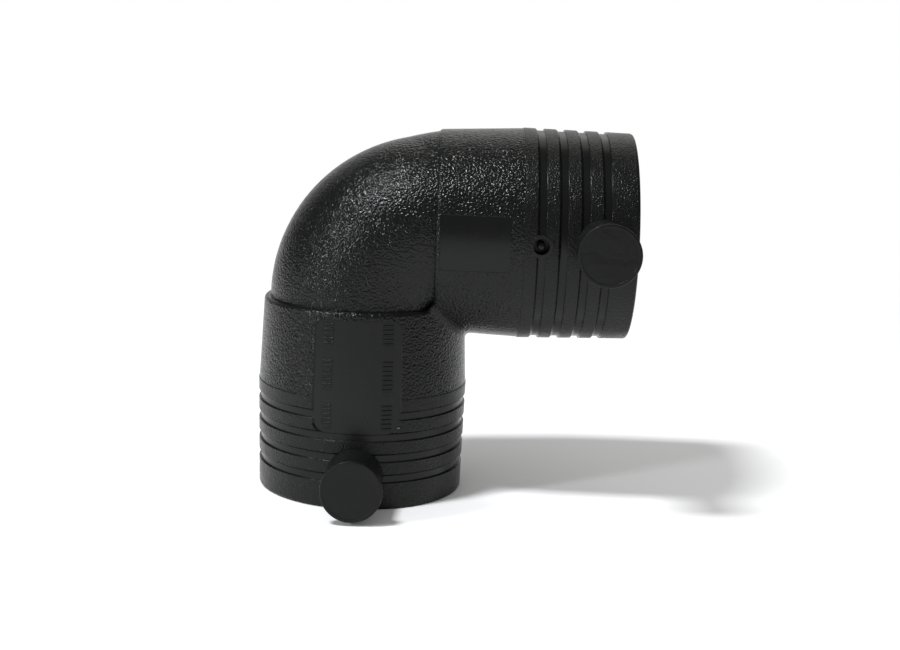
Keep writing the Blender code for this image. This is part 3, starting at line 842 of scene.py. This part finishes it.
# Finishes: noises that give the relief with its depth, and one that varies the roughness
Noise = namedtuple("Noise", "scale detail roughness distortion", defaults=(2.0, 0.5, 0.0))
Bump = namedtuple("Bump", "noise depth")
Sheen = namedtuple("Sheen", "noise low high")
Finish = namedtuple("Finish", "colour roughness bumps sheen specular metallic", defaults=(0.5, 0.0))

# Colours, strength of the highlights, and the part of a noise that varies the roughness
BLACK = (0.0062, 0.0065, 0.0062)
CAP_BLACK = (0.0066, 0.0068, 0.0066)
BRASS = (0.72, 0.52, 0.24)
COPPER_ALLOY = (0.75, 0.42, 0.26)
GLOSS = 0.22
CAP_GLOSS = 0.18
NOISE_LOW = 0.3
NOISE_HIGH = 0.7

FINISHES = {
    # Black polyethylene with the coarse leather grain of the mould
    "grained_plastic": Finish(
        BLACK, roughness=0.22, specular=GLOSS,
        bumps=(Bump(Noise(1220, 0.6, 0.5, 0.3), 0.42 * MM), Bump(Noise(2600, 0.5), 0.04 * MM)),
        sheen=Sheen(Noise(300), 0.16, 0.24),
    ),
    # The finer grain of the clamping bands
    "banded_plastic": Finish(
        BLACK, roughness=0.28, specular=GLOSS,
        bumps=(Bump(Noise(1750, 0.6), 0.29 * MM),),
        sheen=Sheen(Noise(120), 0.26, 0.34),
    ),
    # Polished mould surface: groove floors, label recess, pad and rims
    "smooth_plastic": Finish(
        BLACK, roughness=0.26, specular=GLOSS,
        bumps=(Bump(Noise(70, 1.0, 0.4), 0.06 * MM), Bump(Noise(2400, 2.0, 0.6), 0.012 * MM)),
        sheen=Sheen(Noise(60), 0.22, 0.3),
    ),
    # The inside, turned and slightly duller
    "bored_plastic": Finish(
        BLACK, roughness=0.4, specular=GLOSS,
        bumps=(Bump(Noise(1200, 3.0, 0.6), 0.02 * MM),),
        sheen=Sheen(Noise(150), 0.36, 0.46),
    ),
    # The eroded, grainy side of the terminal shrouds
    "shroud_plastic": Finish(
        BLACK, roughness=0.42, specular=GLOSS,
        bumps=(Bump(Noise(1500, 3.0, 0.65), 0.15 * MM),),
        sheen=Sheen(Noise(400), 0.38, 0.48),
    ),
    # The softer, greyer plastic of the caps, with the faint swirl of its moulding
    "cap_moulding": Finish(
        CAP_BLACK, roughness=0.36, specular=CAP_GLOSS,
        bumps=(Bump(Noise(130, 2.0, 0.5, 1.0), 0.3 * MM), Bump(Noise(2600, 2.0, 0.6), 0.02 * MM)),
        sheen=Sheen(Noise(130, 2.0, 0.5, 1.0), 0.3, 0.42),
    ),
    # Turned brass of the contact pins
    "brass": Finish(
        BRASS, roughness=0.28, metallic=1.0,
        bumps=(Bump(Noise(900, 3.0, 0.6), 0.01 * MM),),
        sheen=Sheen(Noise(500), 0.2, 0.36),
    ),
    # Drawn resistance wire
    "wire_metal": Finish(
        COPPER_ALLOY, roughness=0.34, metallic=1.0,
        bumps=(Bump(Noise(1500), 0.01 * MM),),
        sheen=Sheen(Noise(700), 0.26, 0.42),
    ),
}


def add_node(tree, kind, **values):
    """Adds a node and sets its inputs and properties by name; an output is linked to its input."""
    node = tree.nodes.new(kind)
    for name, value in values.items():
        name = name.replace("_", " ") if name.replace("_", " ") in node.inputs else name
        if isinstance(value, bpy.types.NodeSocket):
            tree.links.new(value, node.inputs[name])
        elif name in node.inputs:
            node.inputs[name].default_value = value
        else:
            setattr(node, name, value)
    return node


def noise_value(tree, noise):
    return add_node(
        tree, "ShaderNodeTexNoise",
        Vector=add_node(tree, "ShaderNodeTexCoord").outputs["Object"],
        Scale=noise.scale, Detail=noise.detail, Roughness=noise.roughness,
        Distortion=noise.distortion,
    ).outputs["Fac"]


def build_material(name):
    finish = FINISHES[name]
    material = bpy.data.materials.new(name)
    material.use_nodes = True
    tree = material.node_tree
    shader = tree.nodes["Principled BSDF"]
    shader.inputs["Base Color"].default_value = (*finish.colour, 1)
    shader.inputs["Roughness"].default_value = finish.roughness
    shader.inputs["Specular IOR Level"].default_value = finish.specular
    shader.inputs["Metallic"].default_value = finish.metallic
    below = {}
    for bump in finish.bumps:
        height = noise_value(tree, bump.noise)
        node = add_node(tree, "ShaderNodeBump", Distance=bump.depth, Height=height, **below)
        below = {"Normal": node.outputs["Normal"]}
    tree.links.new(below["Normal"], shader.inputs["Normal"])
    sheen = add_node(
        tree, "ShaderNodeMapRange", Value=noise_value(tree, finish.sheen.noise),
        From_Min=NOISE_LOW, From_Max=NOISE_HIGH, To_Min=finish.sheen.low, To_Max=finish.sheen.high,
    )
    tree.links.new(sheen.outputs["Result"], shader.inputs["Roughness"])
    return material


# Studio
WHITE = (1, 1, 1, 1)
DIFFUSE_LIGHT = (0.75, 0.75, 0.75, 1)
DIFFUSE_STRENGTH = 0.7
FLOOR_COLOUR = (0.86, 0.86, 0.86, 1)
FLOOR_RADIUS = 6.0
FLOOR_STEPS = 96
FLOOR_FADE = (0.2, 0.6)
DOME_RADIUS = 3.0
DOME_STEPS = (64, 32)
DOME_LOWEST = -0.001
DOME_FADE = (1.8, 3.0)
DOME_GLOW = (0.012, 0.8)

Lamp = namedtuple("Lamp", "place size power colour")
COOL = (0.97, 0.98, 1.0)
WARM = (1.0, 0.98, 0.94)
LAMP_TARGET = Vector((0, 0, 0.09))
LAMPS = {
    "key_softbox": Lamp((-1.02, -0.78, 2.34), (0.5, 0.25), 62.0, COOL),
    "side_softbox": Lamp((-1.56, -1.07, 0.75), (0.2, 0.14), 13.0, COOL),
    "rear_fill": Lamp((0.3, 1.9, 1.9), (1.8, 1.8), 8.0, WARM),
}

# Camera: place from the crossing of the axes, turn in degrees, lens and sensor in millimetres
CAMERA_PLACE = Vector((0.03056, -0.580825, 0.073071))
CAMERA_TURN = (83.0327, -1.7784, 1.9061)
CAMERA_LENS = 60.395
CAMERA_SENSOR = 36
CAMERA_SHIFT = (0.05373, -0.11359)


def shown_background(tree):
    """1 for the rays that see the white background: camera, glossy and transmission."""
    path = tree.nodes.new("ShaderNodeLightPath")
    total = path.outputs["Is Camera Ray"]
    for name in ("Is Glossy Ray", "Is Transmission Ray"):
        larger = add_node(tree, "ShaderNodeMath", operation="MAXIMUM")
        tree.links.new(total, larger.inputs[0])
        tree.links.new(path.outputs[name], larger.inputs[1])
        total = larger.outputs[0]
    return total


def mix_onto(tree, output, share, near, far):
    """Feeds the surface of an output node with two shaders mixed by a share."""
    mix = tree.nodes.new("ShaderNodeMixShader")
    for source, target in zip((share, near, far), mix.inputs):
        tree.links.new(source, target)
    tree.links.new(mix.outputs[0], tree.nodes[output].inputs["Surface"])


def build_world():
    world = bpy.data.worlds.new("studio")
    world.use_nodes = True
    bpy.context.scene.world = world
    tree = world.node_tree
    lit = tree.nodes["Background"]
    lit.inputs["Color"].default_value = DIFFUSE_LIGHT
    lit.inputs["Strength"].default_value = DIFFUSE_STRENGTH
    white = add_node(tree, "ShaderNodeBackground", Color=WHITE)
    mix_onto(tree, "World Output", shown_background(tree), lit.outputs[0], white.outputs[0])


def studio_piece(name, work, material_name):
    """A piece of the studio, and the node tree of its material, where no shader stands yet."""
    mesh = bpy.data.meshes.new(name)
    work.to_mesh(mesh)
    work.free()
    material = bpy.data.materials.new(material_name)
    material.use_nodes = True
    material.node_tree.nodes.remove(material.node_tree.nodes["Principled BSDF"])
    mesh.materials.append(material)
    piece = bpy.data.objects.new(name, mesh)
    bpy.context.scene.collection.objects.link(piece)
    return piece, material.node_tree


def build_floor():
    """A pale floor that keeps the object's shadow and turns into the white background far off."""
    work = bmesh.new()
    bmesh.ops.create_circle(work, cap_ends=True, radius=FLOOR_RADIUS, segments=FLOOR_STEPS)
    floor, tree = studio_piece("floor", work, "floor_white")
    paper = add_node(tree, "ShaderNodeBsdfDiffuse", Color=FLOOR_COLOUR)
    white = tree.nodes.new("ShaderNodeEmission")
    coordinates = add_node(tree, "ShaderNodeTexCoord")
    length = add_node(tree, "ShaderNodeVectorMath", operation="LENGTH")
    tree.links.new(coordinates.outputs["Object"], length.inputs[0])
    far = add_node(
        tree, "ShaderNodeMapRange", interpolation_type="SMOOTHSTEP",
        Value=length.outputs["Value"], From_Min=FLOOR_FADE[0], From_Max=FLOOR_FADE[1],
    )
    share = add_node(tree, "ShaderNodeMath", operation="MULTIPLY")
    tree.links.new(far.outputs["Result"], share.inputs[0])
    tree.links.new(shown_background(tree), share.inputs[1])
    mix_onto(tree, "Material Output", share.outputs[0], paper.outputs[0], white.outputs[0])


def build_reflector():
    """The dim studio above the floor, seen only in reflections: dark in front, grey behind."""
    work = bmesh.new()
    around, upward = DOME_STEPS
    bmesh.ops.create_uvsphere(work, u_segments=around, v_segments=upward, radius=DOME_RADIUS)
    below = [vert for vert in work.verts if vert.co.z < DOME_LOWEST]
    bmesh.ops.delete(work, geom=below, context="VERTS")
    dome, tree = studio_piece("studio_dome", work, "studio_dome")
    for name in ("camera", "diffuse", "transmission", "volume_scatter", "shadow"):
        setattr(dome, "visible_" + name, False)
    coordinates = add_node(tree, "ShaderNodeTexCoord")
    split = add_node(tree, "ShaderNodeSeparateXYZ", Vector=coordinates.outputs["Object"])
    depth = add_node(
        tree, "ShaderNodeMapRange", interpolation_type="SMOOTHSTEP", Value=split.outputs["Y"],
        From_Min=DOME_FADE[0], From_Max=DOME_FADE[1], To_Min=DOME_GLOW[0], To_Max=DOME_GLOW[1],
    )
    glow = add_node(tree, "ShaderNodeEmission", Strength=depth.outputs["Result"])
    tree.links.new(glow.outputs[0], tree.nodes["Material Output"].inputs["Surface"])


def aim(obj, target):
    """Turns a lamp to its target and keeps its long side as near as it can to the X axis."""
    away = (obj.location - target).normalized()
    along = (Vector((1, 0, 0)) - away.x * away).normalized()
    obj.rotation_euler = Matrix((along, away.cross(along), away)).transposed().to_euler()


def build_lamps():
    for name, lamp in LAMPS.items():
        light = bpy.data.lights.new(name, "AREA")
        light.shape = "RECTANGLE"
        light.size, light.size_y = lamp.size
        light.energy = lamp.power
        light.color = lamp.colour
        obj = bpy.data.objects.new(name, light)
        bpy.context.scene.collection.objects.link(obj)
        obj.location = lamp.place
        aim(obj, LAMP_TARGET)


def build_camera():
    camera = bpy.data.cameras.new("camera")
    camera.lens = CAMERA_LENS
    camera.sensor_width = CAMERA_SENSOR
    camera.shift_x, camera.shift_y = CAMERA_SHIFT
    obj = bpy.data.objects.new("camera", camera)
    bpy.context.scene.collection.objects.link(obj)
    obj.location = CROSSING + CAMERA_PLACE
    obj.rotation_euler = [math.radians(angle) for angle in CAMERA_TURN]
    bpy.context.scene.camera = obj


build_camera()
build_world()
build_floor()
build_reflector()
build_lamps()
bpy.context.scene.view_settings.view_transform = "Standard"
materials = {name: build_material(name) for name in FINISHES}

body = build_body()
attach(body, "root")
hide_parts("elbow_body")

for name, socket in (("terminal_cap_lower", LOWER), ("terminal_cap_side", SIDE)):
    cap = build_cap(name, socket)
    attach(cap, "root")
    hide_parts(name)

indicator = build_indicator()
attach(indicator, "root")
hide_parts("fusion_indicator")

wire = build_wire()
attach(wire, "root")
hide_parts("heating_wire")

for name in ("terminal_pin_lower", "terminal_pin_side"):
    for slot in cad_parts[name].material_slots:
        slot.material = materials["brass"]
